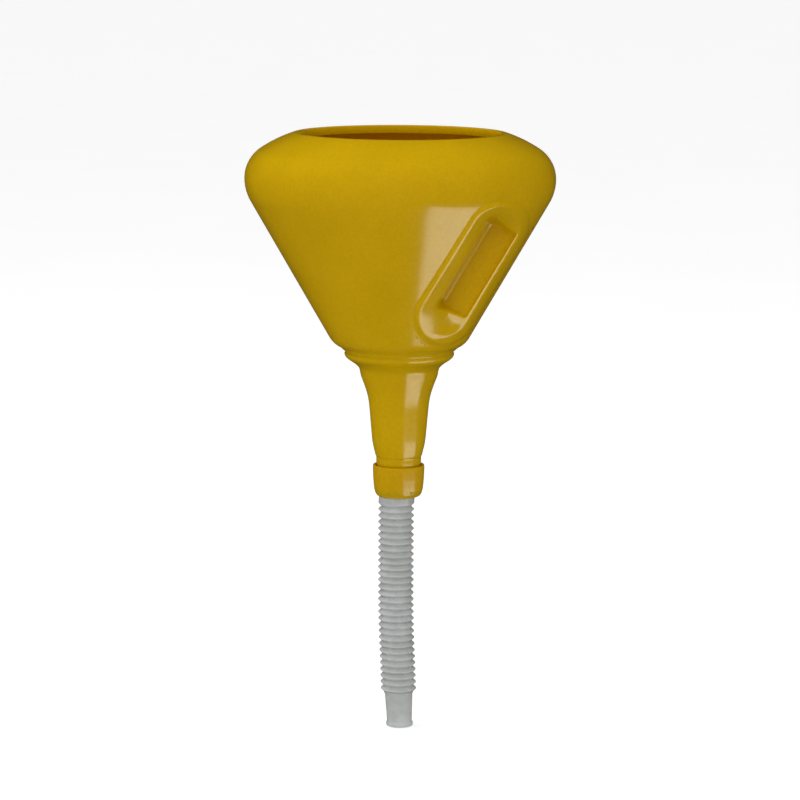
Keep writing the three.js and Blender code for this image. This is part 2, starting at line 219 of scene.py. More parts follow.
def make_object(name, vertices, faces, sharp=40):
    """An object from vertices in millimetres, smooth except at edges sharper than sharp degrees."""
    mesh = bpy.data.meshes.new(name)
    mesh.from_pydata(metres(vertices).tolist(), [], [tuple(int(i) for i in f) for f in faces])
    tidy = bmesh.new()
    tidy.from_mesh(mesh)
    bmesh.ops.remove_doubles(tidy, verts=tidy.verts, dist=1e-6)
    bmesh.ops.recalc_face_normals(tidy, faces=tidy.faces)
    tidy.to_mesh(mesh)
    tidy.free()
    mesh.shade_smooth()
    mesh.set_sharp_from_angle(angle=math.radians(sharp))
    made = bpy.data.objects.new(name, mesh)
    bpy.context.scene.collection.objects.link(made)
    return made


def lathe_parts(loop, segments, drift=None):
    """Vertices and faces of a closed (radius, z) loop turned about the axis. drift(z) moves it along X."""
    loop = np.asarray(loop, float)
    turns = 2 * np.pi * np.arange(segments) / segments
    radius, z = loop[:, :1], loop[:, 1:]
    x = radius * np.cos(turns)
    if drift is not None:
        x = x + drift(z)
    points = np.stack([x, radius * np.sin(turns), z + 0 * x], -1).reshape(-1, 3)
    faces = []
    rows = len(loop)
    for i in range(rows):
        j = (i + 1) % rows
        for k in range(segments):
            m = (k + 1) % segments
            faces.append((i * segments + k, i * segments + m, j * segments + m, j * segments + k))
    return points, faces


def join_parts(parts):
    """Several (vertices, faces) pairs as one."""
    vertices, faces, start = [], [], 0
    for points, polygons in parts:
        vertices.append(np.asarray(points, float))
        faces += [tuple(i + start for i in f) for f in polygons]
        start += len(points)
    return np.vstack(vertices), faces


def rounded_box(size, centre, bevel, turn=0.0):
    """Vertices and faces of a box with bevelled edges, turned about Z."""
    tool = bmesh.new()
    bmesh.ops.create_cube(tool, size=1.0)
    bmesh.ops.scale(tool, vec=Vector(size), verts=tool.verts)
    geometry = tool.edges[:] + tool.verts[:]
    bmesh.ops.bevel(tool, geom=geometry, offset=bevel, segments=3, affect="EDGES", profile=0.5)
    move = Matrix.Rotation(turn, 4, "Z") @ Matrix.Translation(Vector(centre))
    bmesh.ops.transform(tool, matrix=move, verts=tool.verts)
    tool.verts.ensure_lookup_table()
    points = [tuple(v.co) for v in tool.verts]
    faces = [tuple(v.index for v in f.verts) for f in tool.faces]
    tool.free()
    return points, faces


# ---------------------------------------------------------------- funnel body


def filleted_wall(x, steepness, radius):
    """Height of a wall that starts at x = 0 on a flat floor, with a round fillet of this radius."""
    angle = np.arctan(steepness)
    start = radius * np.tan(angle / 2)
    across = np.clip(x + start, 0, radius * np.sin(angle))
    fillet_height = radius - np.sqrt(radius**2 - across**2)
    return np.where(x + start >= radius * np.sin(angle), steepness * x, fillet_height)


def soft_min(a, b, width):
    near = np.clip(1 - np.abs(a - b) / width, 0, 1)
    return np.minimum(a, b) - near**2 * width / 4


def smooth(t):
    t = np.clip(t, 0, 1)
    return t * t * (3 - 2 * t)


def grip_along(x, depth):
    """Places in the recess: along its long axis, upwards, and across it, outwards."""
    dx, dz = x - GRIP_CENTRE[0], GRIP_CENTRE[1] - depth
    along = dx * math.sin(GRIP_LEAN) + dz * math.cos(GRIP_LEAN)
    across = dx * math.cos(GRIP_LEAN) - dz * math.sin(GRIP_LEAN)
    return along, across


def grip_place(u, v):
    """The opposite of grip_along."""
    x = GRIP_CENTRE[0] + u * math.sin(GRIP_LEAN) + v * math.cos(GRIP_LEAN)
    return x, GRIP_CENTRE[1] - u * math.cos(GRIP_LEAN) + v * math.sin(GRIP_LEAN)


def rim_distance(u, v):
    """Distance from the middle line of the rim, which is a little narrower on its outward side."""
    return np.hypot(np.maximum(np.abs(u) - GRIP_RIM_HALF, 0), v * np.where(v > 0, GRIP_RIM_NARROWING, 1))


def rim_height(u, v):
    """Height of the raised rim: a quick rise to its crest and a slow fall towards the recess."""
    heights = []
    for points in (GRIP_INNER_RIM, GRIP_OUTER_RIM):
        profile = spline(points[::-1], 0.4)
        heights.append(np.interp(rim_distance(u, v), profile[:, 0], profile[:, 1]))
    outer_share = smooth((v + 6) / 12)
    return heights[0] * (1 - outer_share) + heights[1] * outer_share


def recess_reach(u, v, growth):
    """How far from y = 0 the recess lets the skin stand. growth makes room for the wall behind it."""
    half_width, half_length = GRIP_FLOOR_HALF
    floor = GRIP_FLOOR_Y - growth + GRIP_FLOOR_SLOPE * u
    v, u = v - GRIP_FLOOR_CENTRE[0], u - GRIP_FLOOR_CENTRE[1]
    crease = GRIP_CREASE_DEPTH * np.clip(1 - np.abs(v) / half_width, 0, 1)
    across = np.abs(v) - half_width - growth
    chamfer_slope, chamfer_width = GRIP_CHAMFER
    chamfer = chamfer_slope * (across + chamfer_width)
    side = np.maximum(np.maximum(chamfer, 0), GRIP_SIDE_STEEPNESS * across + chamfer_slope * chamfer_width)
    steepness = np.where(u > 0, GRIP_END_STEEPNESS[0], GRIP_END_STEEPNESS[1])
    end = filleted_wall(np.abs(u) - half_length - growth, steepness, GRIP_END_FILLET)
    return floor - crease + np.hypot(side, end)


class Skin:
    """The outside or the inside of the bowl, as a function of the outside's turn and depth."""

    def __init__(self, outline, inset):
        self.outside = outline
        self.line = offset_line(outline, inset)
        self.inset = inset
        first = int(np.argmax(outline[:, 0])) - 4
        self.depths = outline[first:, 1]
        self.numbers = np.arange(first, len(outline))

    def outer_radius(self, depth):
        return np.interp(depth, self.depths, self.outside[self.numbers, 0])

    def ring(self, number, turns):
        radius, depth = self.line[number]
        return self.place(radius, depth, turns)

    def at(self, depth, turns):
        number = np.interp(depth, self.depths, self.numbers)
        radius = np.interp(number, self.numbers, self.line[self.numbers, 0])
        own_depth = np.interp(number, self.numbers, self.line[self.numbers, 1])
        return self.place(radius, own_depth, turns)

    def place(self, radius, depth, turns):
        """Points at these turns from -Y towards +X, with the recess on this side pressed in."""
        x = radius * np.sin(turns)
        reach = radius * np.cos(turns)
        depth = depth + 0 * x
        u, v = grip_along(x, depth)
        front = (np.abs(reach) > 1e-6) & (rim_distance(u, v) < GRIP_RIM_RADIUS + 6)
        facing = np.maximum(np.abs(np.cos(turns)) * math.cos(GRIP_LEAN), 0.45)
        raised = np.abs(reach) + rim_height(u, v) / facing
        pressed = soft_min(raised, recess_reach(u, v, self.inset), GRIP_EDGE_SOFTNESS)
        reach = np.where(front, np.copysign(pressed, reach), reach)
        return np.stack([x, -reach, MOUTH_Z - depth], -1)


def rounded_ring(fractions, right, left, top, bottom, corner):
    """A closed line of points (u, v), a rectangle with round corners whose four quarters differ in size."""
    made = []
    quarters = ((right, top, 1, 1), (left, top, 1, -1), (left, bottom, -1, -1), (right, bottom, -1, 1))
    for width, length, flip_u, flip_v in quarters:
        r = min(corner, width, length)
        straight, bend = length - r, r * math.pi / 2
        total = straight + bend + width - r
        quarter = []
        for f in fractions:
            s = f * total
            if s <= straight:
                place = (s, width)
            elif s <= straight + bend:
                a = (s - straight) / r
                place = (straight + r * math.sin(a), width - r + r * math.cos(a))
            else:
                place = (length, width - r - (s - straight - bend))
            quarter.append((flip_u * place[0], flip_v * place[1]))
        if flip_u * flip_v < 0:
            quarter.reverse()
        made += quarter[:-1]
    return np.array(made)


def grip_rings():
    """The recess's points (u, v): a grid on the floor, and rings from its edge to outside the rim."""
    along_count, across_count = 26, 7
    half_width, half_length = GRIP_FLOOR_HALF[0] - 2.6, GRIP_FLOOR_HALF[1] - 5
    side = np.arange(along_count) / along_count * half_length
    end = half_length + np.arange(across_count + 1) / across_count * half_width
    fractions = np.concatenate([side, end]) / (half_width + half_length)
    steps = ((0, 0.5, 0.035), (0.5, 1, 0.05), (1, 1.5, 0.07), (1.5, 2.001, 0.05))
    levels = np.concatenate([np.arange(*step) for step in steps])
    outer = GRIP_RIM_RADIUS + 0.8
    shift_v, shift_u = GRIP_FLOOR_CENTRE
    rings = []
    for t in levels:
        a, b = min(t, 1), max(t - 1, 0)
        sizes = []
        for floor_size, edge_size, outer_size in (
            (half_width, 12.2, outer / GRIP_RIM_NARROWING),
            (half_width, 17.2, outer),
            (half_length, 44.5, GRIP_RIM_HALF + outer),
            (half_length, 44.5, GRIP_RIM_HALF + outer),
        ):
            sizes.append(floor_size + a * (edge_size - floor_size) + b * (outer_size - edge_size))
        ring = rounded_ring(fractions, *sizes, corner=a * 9 + b * (outer - 9))
        ring += np.array([shift_u, shift_v]) * (1 - b)
        rings.append(ring)
    return rings, along_count, across_count, half_width, half_length


def inside_ring(ring, u, v):
    """Whether a point is inside a closed line."""
    a, b = ring, np.roll(ring, -1, axis=0)
    spans = (a[:, 1] > v) != (b[:, 1] > v)
    with np.errstate(divide="ignore", invalid="ignore"):
        crossing = a[:, 0] + (v - a[:, 1]) * (b[:, 0] - a[:, 0]) / (b[:, 1] - a[:, 1])
    return np.count_nonzero(spans & (u < crossing)) % 2 == 1


def floor_grid(along_count, across_count, half_width, half_length):
    u = np.linspace(-half_length, half_length, 2 * along_count + 1) + GRIP_FLOOR_CENTRE[1]
    v = np.linspace(-half_width, half_width, 2 * across_count + 1) + GRIP_FLOOR_CENTRE[0]
    points = np.stack(np.meshgrid(u, v, indexing="ij"), -1).reshape(-1, 2)
    columns = len(v)
    faces = []
    for i in range(len(u) - 1):
        for j in range(columns - 1):
            k = i * columns + j
            faces.append((k, k + 1, k + columns + 1, k + columns))
    return points, faces


def window_turns():
    return np.radians(np.linspace(0, WINDOW_TURN, WINDOW_COLUMNS + 1))


def patch_points():
    """The recess's points (u, v), its faces, and the outermost ring."""
    rings, along_count, across_count, half_width, half_length = grip_rings()
    floor_points, faces = floor_grid(along_count, across_count, half_width, half_length)
    points = [floor_points]
    start = len(floor_points)
    size = len(rings[0])
    for number, ring in enumerate(rings):
        points.append(ring)
        if number:
            for i in range(size):
                j = (i + 1) % size
                a, b = start - size, start
                faces.append((a + i, a + j, b + j, b + i))
        start += size
    return np.vstack(points), faces, rings[-1]


def kept_border(kept):
    """Edges between the grid cells that stay and those that go, as pairs of (row, column) corners."""
    pairs = []
    rows, columns = kept.shape
    for i in range(rows):
        for j in range(columns):
            if kept[i, j]:
                continue
            sides = (
                ((i - 1, j), (i, j), (i, j + 1)),
                ((i + 1, j), (i + 1, j), (i + 1, j + 1)),
                ((i, j - 1), (i, j), (i + 1, j)),
                ((i, j + 1), (i, j + 1), (i + 1, j + 1)),
            )
            pairs += [(a, b) for beside, a, b in sides if kept[beside]]
    return pairs


def join_to_grid(skin, ring, ring_line, kept, turns, depths):
    """Triangles between the outermost ring and the grid cells that stay, and the grid corners they use."""
    size = len(ring)
    flat = [Vector((TURN_SCALE * turn, depth)) for turn, depth in ring]
    edges = [(i, (i + 1) % size) for i in range(size)]
    numbers = {}
    for pair in kept_border(kept):
        for i, j in pair:
            if (i, j) not in numbers:
                numbers[i, j] = len(flat)
                flat.append(Vector((TURN_SCALE * turns[j], depths[i])))
        edges.append((numbers[pair[0]], numbers[pair[1]]))
    corners = np.array([[turns[j], depths[i]] for i, j in numbers])

    triangles = []
    rows, columns = kept.shape
    for triangle in delaunay_2d_cdt(flat, edges, [], 0, 1e-6)[2]:
        middle = sum((flat[k] for k in triangle), Vector((0, 0))) / 3
        turn, depth = middle.x / TURN_SCALE, middle.y
        i = int(np.searchsorted(depths, depth)) - 1
        j = int(np.searchsorted(turns, turn)) - 1
        if not (0 <= i < rows and 0 <= j < columns) or kept[i, j]:
            continue
        u, v = grip_along(skin.outer_radius(depth) * math.sin(turn), depth)
        if not inside_ring(ring_line, u, v):
            triangles.append(triangle)
    return triangles, corners


def plan_window(skin, rows):
    """The recess's patch in (turn, depth): vertices, faces, and which grid cells stay."""
    turns = window_turns()
    depths = skin.outside[rows, 1]
    grid_x = skin.outer_radius(depths)[:, None] * np.sin(turns)[None, :]
    u, v = grip_along(grid_x, depths[:, None] + 0 * grid_x)
    far = rim_distance(u, v) > GRIP_RIM_RADIUS + 2.0
    kept = far[:-1, :-1] & far[1:, :-1] & far[:-1, 1:] & far[1:, 1:]

    points, faces, ring_line = patch_points()
    x, depth = grip_place(points[:, 0], points[:, 1])
    patch = np.stack([np.arcsin(x / skin.outer_radius(depth)), depth], 1)
    size = len(ring_line)
    ring_start = len(patch) - size
    triangles, corners = join_to_grid(skin, patch[ring_start:], ring_line, kept, turns, depths)
    for triangle in triangles:
        faces.append(tuple(ring_start + k if k < size else len(patch) + k - size for k in triangle))
    return np.vstack([patch, corners]), faces, kept


def body_outline():
    outline = Outline(MOUTH_EDGE_RADIUS, 0, SHOULDER_HEADING)
    outline.arc(*SHOULDER_ARC)
    outline.arc(SIDE_ARC_RADIUS, 90 - SHOULDER_HEADING - SHOULDER_ARC[1])
    outline.arc(CONE_ARC_RADIUS, CONE_ANGLE)
    outline.line(CONE_LENGTH)
    outline.arc(*FOOT_ARC)
    return np.array(outline.points)


def lower_lines(inside):
    """Seat, shelf and neck below the bowl, outside and inside."""
    shelf = spline([SEAT[-1], *SHELF], ROW_STEP)[1:]
    outer = np.vstack([np.array(SEAT), shelf, spline(NECK, 2)[1:], NECK_END])
    inner = offset_line(spline([(44.0, 179.5), *SHELF, *NECK[1:]], 2), WALL)
    inner = inner[inner[:, 0] < inside.line[-1, 0] - 1]
    inner = inner[inner[:, 1] > inside.line[-1, 1] + 0.5]
    return outer, np.vstack([inner, NECK_BORE])


def mouth_lip():
    """From the wall's inside, round the turned-down lip and up to the mouth's edge."""
    return [
        (MOUTH_EDGE_RADIUS - 0.9, WALL + 0.1),
        (MOUTH_HOLE_RADIUS + WALL, WALL + 0.3),
        (MOUTH_HOLE_RADIUS + WALL - 0.1, LIP_DEPTH - 0.3),
        (MOUTH_HOLE_RADIUS + WALL - 0.5, LIP_DEPTH),
        (MOUTH_HOLE_RADIUS + 0.4, LIP_DEPTH),
        (MOUTH_HOLE_RADIUS, LIP_DEPTH - 0.4),
        (MOUTH_HOLE_RADIUS, 0.45),
        (MOUTH_HOLE_RADIUS + 0.15, 0.12),
        (MOUTH_HOLE_RADIUS + 0.5, 0),
        (MOUTH_EDGE_RADIUS - 0.7, 0),
        (MOUTH_EDGE_RADIUS - 0.25, 0.04),
    ]


class BowlMesh:
    """Rings of vertices at the same turns, and the faces between them."""

    def __init__(self, turns):
        self.turns = turns
        self.vertices = []
        self.faces = []
        self.count = 0

    def add(self, points):
        start = self.count
        self.vertices.append(points)
        self.count += len(points)
        return start

    def bridge(self, a, b, skip=()):
        columns = len(self.turns)
        for k in range(columns):
            if k not in skip:
                m = (k + 1) % columns
                self.faces.append((a + k, a + m, b + m, b + k))

    def follow(self, previous, line):
        """Plain rings along a (radius, depth) line. Returns the start of the last one."""
        for radius, depth in line:
            x, y = radius * np.sin(self.turns), -radius * np.cos(self.turns)
            ring = self.add(np.stack([x, y, MOUTH_Z - depth + 0 * self.turns], 1))
            self.bridge(previous, ring)
            previous = ring
        return previous

    def add_skin(self, skin, first, last, window):
        """One skin of the bowl with both recess patches. Returns its first and last ring."""
        patch, patch_faces, kept, rows, back_last = window
        starts = {number: self.add(skin.ring(number, self.turns)) for number in range(first, last + 1)}
        for number in range(first, last):
            skip = set()
            if rows[0] <= number < rows[-1]:
                gone = {int(j) for j in np.where(~kept[number - rows[0]])[0]}
                skip = gone | {back_last - j for j in gone}
            self.bridge(starts[number], starts[number + 1], skip)
        for turned in (patch[:, 0], math.pi - patch[:, 0]):
            start = self.add(skin.at(patch[:, 1], turned))
            self.faces += [tuple(start + k for k in f) for f in patch_faces]
        return starts[first], starts[last]


def make_body():
    outline = body_outline()
    front = window_turns()
    between = np.radians(np.linspace(WINDOW_TURN, 180 - WINDOW_TURN, 6))[1:-1]
    left = np.radians(np.arange(180 + PLAIN_COLUMN_TURN, 360 - 0.1, PLAIN_COLUMN_TURN))
    bowl = BowlMesh(np.concatenate([front, between, math.pi - front[::-1], left]))

    rows = np.where((outline[:, 1] > WINDOW_DEPTHS[0]) & (outline[:, 1] < WINDOW_DEPTHS[1]))[0]
    outside, inside = Skin(outline, 0.0), Skin(outline, WALL)
    back_last = 2 * WINDOW_COLUMNS + len(between)
    window = (*plan_window(outside, rows), rows, back_last)

    outer_line, inner_line = lower_lines(inside)
    last = len(outline) - 1
    outer_top, seam = bowl.add_skin(outside, 1, last, window)
    outer_end = bowl.follow(seam, outer_line)
    inner_top, seam = bowl.add_skin(inside, 3, last, window)
    inner_end = bowl.follow(seam, inner_line)
    bowl.bridge(bowl.follow(inner_top, mouth_lip()), outer_top)
    bowl.bridge(outer_end, inner_end)
    return make_object("bowl_shell", np.vstack(bowl.vertices), bowl.faces, sharp=50)


# ---------------------------------------------------------------- collar, spout and strainer


def fillet(points, radius, steps=4):
    """A closed loop of (radius, z) points with each corner rounded."""
    p = np.asarray(points, float)
    made = []
    for i in range(len(p)):
        before, here, after = p[i - 1], p[i], p[(i + 1) % len(p)]
        a, b = before - here, after - here
        la, lb = np.linalg.norm(a), np.linalg.norm(b)
        a, b = a / la, b / lb
        cut = min(radius, 0.45 * la, 0.45 * lb)
        if np.dot(a, b) < -0.999:
            made.append(here)
            continue
        start, end = here + a * cut, here + b * cut
        for t in np.linspace(0, 1, steps):
            made.append((1 - t) ** 2 * start + 2 * t * (1 - t) * here + t**2 * end)
    return np.array(made)


def refine(loop, step):
    """A closed loop with points about every step."""
    made = []
    for a, b in zip(loop, np.roll(loop, -1, axis=0)):
        count = max(1, math.ceil(np.linalg.norm(b - a) / step))
        made += [a + (b - a) * t for t in np.arange(count) / count]
    return np.array(made)


def press_dimples(points, bottom):
    """Small dents round the collar's foot, pressed into its outside."""
    turn = np.arctan2(points[:, 1], points[:, 0])
    radius = np.hypot(points[:, 0], points[:, 1])
    half_pitch = math.pi / DIMPLE_COUNT
    offset = (turn - DIMPLE_PHASE + half_pitch) % (2 * half_pitch) - half_pitch
    distance = np.hypot(offset * 20, points[:, 2] - (bottom + DIMPLE_HEIGHT))
    dent = np.where(radius > 18.9, DIMPLE_DEPTH * (1 - smooth(distance / DIMPLE_REACH)), 0)
    points[:, 0] -= dent * np.cos(turn)
    points[:, 1] -= dent * np.sin(turn)


def make_collar():
    low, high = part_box("spout_collar")
    bottom, top = low.z / MM, high.z / MM
    outer = [(20.85, top), (21.0, top - 1.6), (20.7, top - 10), (20.2, top - 16.5), (19.75, top - 20)]
    corner = [(19.4, bottom + 4.6), (18.75, bottom + 2.4), (17.6, bottom + 0.8), (16.6, bottom + 0.15)]
    foot = [(16.35, bottom + 0.1), (16.2, bottom + 0.5), (16.2, bottom + 2.6), (18.6, bottom + 2.6)]
    loop = refine(fillet(outer + corner + foot + [(18.6, top)], 0.45), 0.55)
    points, faces = lathe_parts(loop, COLLAR_SEGMENTS)
    press_dimples(points, bottom)
    parts = [(points, faces)]
    for k in range(DIMPLE_COUNT):
        turn = DIMPLE_PHASE + k * 2 * math.pi / DIMPLE_COUNT
        parts.append(rounded_box((1.8, 5, 2.4), (18.25, 0, bottom + 7.3), 0.35, turn))
    return make_object("collar_cup", *join_parts(parts), sharp=35)


def drift(z):
    knots = np.array(SPOUT_DRIFT)
    fine = spline(knots, 1.0)
    return np.interp(z, fine[:, 0], fine[:, 1])


def fold_z(index):
    return FIRST_CREST_Z - RIB_PITCH * (index * RIBS_PER_SECTION - 0.5)


def rib_radius(z):
    """Outer radius of the ribs: straight flanks between rounded crests and valleys."""
    phase = (FIRST_CREST_Z - z) / RIB_PITCH
    away = np.abs(phase - np.round(phase)) * 2
    soft = 0.13
    away = np.where(away < soft, (away**2 + soft**2) / (2 * soft), away)
    away = np.where(away > 1 - soft, 1 - ((1 - away) ** 2 + soft**2) / (2 * soft), away)
    return CREST_RADIUS - (CREST_RADIUS - VALLEY_RADIUS) * (away - soft / 2) / (1 - soft)


def ribbed_line(top, bottom):
    """Points from top to bottom, with the same places on every rib."""
    ribs = range(-1, SECTION_COUNT * RIBS_PER_SECTION + 1)
    places = [FIRST_CREST_Z - RIB_PITCH * (rib + share) for rib in ribs for share in RIB_PLACES]
    z = [top] + [p for p in places if bottom + 0.02 < p < top - 0.02] + [bottom]
    return np.stack([rib_radius(np.array(z)), z], 1)


def walled(outer, wall):
    inner = outer[::-1].copy()
    inner[:, 0] -= wall
    return np.vstack([outer, inner])


def seam_z(index):
    """Where one piece of the spout ends and the next starts: on a straight flank."""
    return fold_z(index) - 1.75 * RIB_PITCH


def make_cuff(cuff_end):
    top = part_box("spout_cuff")[1].z / MM
    flange = [
        (13.4, cuff_end), (13.4, top - 0.3), (13.7, top), (17.3, top), (17.7, top - 0.4), (17.7, top - 2.4),
        (17.4, top - 2.8), (15.1, top - 2.85), (14.7, top - 3.1), (CREST_RADIUS, top - 3.6),
        (CREST_RADIUS, cuff_end),
    ]
    loop = refine(np.array(flange), 1.0)
    cuff = make_object("spout_cuff_skin", *lathe_parts(loop, SPOUT_SEGMENTS, drift), sharp=60)
    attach(cuff, "spout_top")
    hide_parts("spout_cuff")
    return cuff


def make_bend(number, top, bottom):
    """One piece of the spout: a fold and the section below it."""
    outer = ribbed_line(top, bottom)
    if number == 0:
        outer[outer[:, 1] > fold_z(0) + RIB_PITCH / 2, 0] = CREST_RADIUS
    parts = lathe_parts(walled(outer, SPOUT_WALL), SPOUT_SEGMENTS, drift)
    piece = make_object(f"spout_ribs_{number + 1}", *parts, sharp=60)
    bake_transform(piece)
    nodes = [f"spout_fold_{number + 1}"]
    if number < SECTION_COUNT:
        nodes.append(f"spout_section_{number + 1}")
    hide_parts(*nodes)
    return piece


def make_nozzle(nozzle_top):
    last = ribbed_line(nozzle_top, fold_z(SECTION_COUNT) - RIB_PITCH)
    outside = [
        (12.0, 28.2), (11.75, 27.6), (11.45, 26.9), (11.3, 26.0), (10.75, 15), (10.2, 4.4), (10.3, 3.6),
        (10.75, 2.9), (10.95, 2.2), (10.95, 0.9), (10.7, 0.25), (10.2, 0),
    ]
    inside = [
        (9.1, 0), (8.75, 0.3), (8.7, 1.2), (8.75, 4.4), (9.3, 15), (9.9, 26.0), (10.3, 27.2), (10.8, 28.4),
    ]
    back = last[::-1].copy()
    back[:, 0] -= SPOUT_WALL
    loop = np.vstack([last, refine_open(outside + inside, 1.2), back])
    nozzle = make_object("spout_end", *lathe_parts(loop, SPOUT_SEGMENTS, drift), sharp=60)
    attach(nozzle, "spout_tip")
    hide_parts("spout_nozzle")
    return nozzle


def make_spout():
    cuff_end = fold_z(0) + 0.9 * RIB_PITCH
    nozzle_top = fold_z(SECTION_COUNT) - 0.75 * RIB_PITCH
    seams = [cuff_end] + [seam_z(i) for i in range(SECTION_COUNT)] + [nozzle_top]
    made = [make_cuff(cuff_end)]
    for i in range(SECTION_COUNT + 1):
        made.append(make_bend(i, seams[i], seams[i + 1]))
    made.append(make_nozzle(nozzle_top))
    return made


def refine_open(points, step):
    made = []
    p = np.asarray(points, float)
    for a, b in zip(p[:-1], p[1:]):
        count = max(1, math.ceil(np.linalg.norm(b - a) / step))
        made += [a + (b - a) * t for t in np.arange(count) / count]
    made.append(p[-1])
    return np.array(made)


def make_strainer_frame():
    low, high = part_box("strainer_frame")
    ring_low, tab_top = low.z / MM, high.z / MM
    ring_top = ring_low + 9.3
    outer = [(37.4, ring_top), (41.0, ring_top), (41.0, ring_top - 5.4), (36.2, ring_low)]
    inner = [(35.6, ring_low), (35.6, ring_top - 5.6), (37.4, ring_top - 5.6)]
    parts = [lathe_parts(fillet(outer + inner, 0.5), 128)]
    hub = fillet([(2.0, ring_top), (6.0, ring_top), (6.0, ring_top - 4), (2.0, ring_top - 4)], 0.5)
    parts.append(lathe_parts(hub, 48))
    spoke_length = 33.2
    spoke_place = (5 + spoke_length / 2, 0, ring_top - 2)
    for k in range(4):
        parts.append(rounded_box((spoke_length, 2.3, 3.8), spoke_place, 0.5, k * math.pi / 2))
    tab_height = tab_top - ring_top
    parts.append(rounded_box((18, 2.4, tab_height + 1), (0, 0, ring_top + tab_height / 2 - 0.5), 0.8))
    for k in range(3):
        parts.append(rounded_box((13, 3.4, 0.9), (0, 0, tab_top - 4 - 3 * k), 0.35))
    return make_object("strainer_ring", *join_parts(parts), sharp=40)


def make_gauze():
    """Two sets of wires that pass over and under each other."""
    low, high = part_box("strainer_gauze")
    middle, radius = (low.z + high.z) / 2 / MM, high.x / MM
    pitch, wire, sides = 1.5, 0.22, 5
    count = int(radius / pitch)
    parts = []
    for direction in (0, 1):
        for number in range(-count, count + 1):
            across = number * pitch
            half = math.sqrt(max(radius**2 - across**2, 0)) - 0.2
            if half < 3:
                continue
            steps = int(2 * half / (pitch / 2))
            along = np.linspace(-half, half, steps + 1)
            side = 1 if (number + direction) % 2 else -1
            lift = 0.5 * wire * 1.25 * np.cos(np.pi * along / pitch) * side
            points, faces = [], []
            for a, z in zip(along, lift):
                for k in range(sides):
                    turn = 2 * math.pi * k / sides
                    p = (a, across + 0.5 * wire * math.cos(turn), middle + z + 0.5 * wire * math.sin(turn))
                    points.append((p[1], p[0], p[2]) if direction else p)
            for i in range(steps):
                for k in range(sides):
                    m = (k + 1) % sides
                    faces.append((i * sides + k, i * sides + m, (i + 1) * sides + m, (i + 1) * sides + k))
            faces.append(tuple(range(sides)))
            faces.append(tuple(steps * sides + k for k in range(sides)))
            parts.append((points, faces))
    under, over = middle - 0.35, middle + 0.35
    edge = [(radius - 0.9, over), (radius, over), (radius, under), (radius - 0.9, under)]
    parts.append(lathe_parts(fillet(edge, 0.2, 3), 128))
    return make_object("strainer_mesh", *join_parts(parts), sharp=60)


# ---------------------------------------------------------------- materials


def new_material(name):
    material = bpy.data.materials.new(name)
    material.use_nodes = True
    tree = material.node_tree
    shader = tree.nodes["Principled BSDF"]
    return material, tree, shader


def add_noise(tree, scale, detail=3.0, roughness=0.55):
    place = tree.nodes.get("Place") or tree.nodes.new("ShaderNodeTexCoord")
    place.name = "Place"
    noise = tree.nodes.new("ShaderNodeTexNoise")
    noise.inputs["Scale"].default_value = scale
    noise.inputs["Detail"].default_value = detail
    noise.inputs["Roughness"].default_value = roughness
    tree.links.new(place.outputs["Object"], noise.inputs["Vector"])
    return noise


def add_ramp(tree, source, low, high, colours):
    ramp = tree.nodes.new("ShaderNodeValToRGB")
    ramp.color_ramp.elements[0].position = low
    ramp.color_ramp.elements[1].position = high
    ramp.color_ramp.elements[0].color = (*colours[0], 1)
    ramp.color_ramp.elements[1].color = (*colours[1], 1)
    tree.links.new(source, ramp.inputs["Fac"])
    return ramp.outputs["Color"]


def add_range(tree, source, low, high):
    node = tree.nodes.new("ShaderNodeMapRange")
    node.inputs["To Min"].default_value = low
    node.inputs["To Max"].default_value = high
    tree.links.new(source, node.inputs["Value"])
    return node.outputs["Result"]


def add_bump(tree, layers, shader):
    """Bump layers (height socket, distance in millimetres), one on top of the other."""
    normal = None
    for height, distance in layers:
        bump = tree.nodes.new("ShaderNodeBump")
        bump.inputs["Strength"].default_value = 1.0
        bump.inputs["Distance"].default_value = distance * MM
        tree.links.new(height, bump.inputs["Height"])
        if normal is not None:
            tree.links.new(normal, bump.inputs["Normal"])
        normal = bump.outputs["Normal"]
    tree.links.new(normal, shader.inputs["Normal"])


def add_mix(tree, factor, a, b):
    mix = tree.nodes.new("ShaderNodeMix")
    mix.data_type = "RGBA"
    for socket, value in ((mix.inputs[0], factor), (mix.inputs[6], a), (mix.inputs[7], b)):
        if isinstance(value, (int, float)):
            socket.default_value = value
        elif isinstance(value, tuple):
            socket.default_value = (*value, 1)
        else:
            tree.links.new(value, socket)
    return mix.outputs[2]


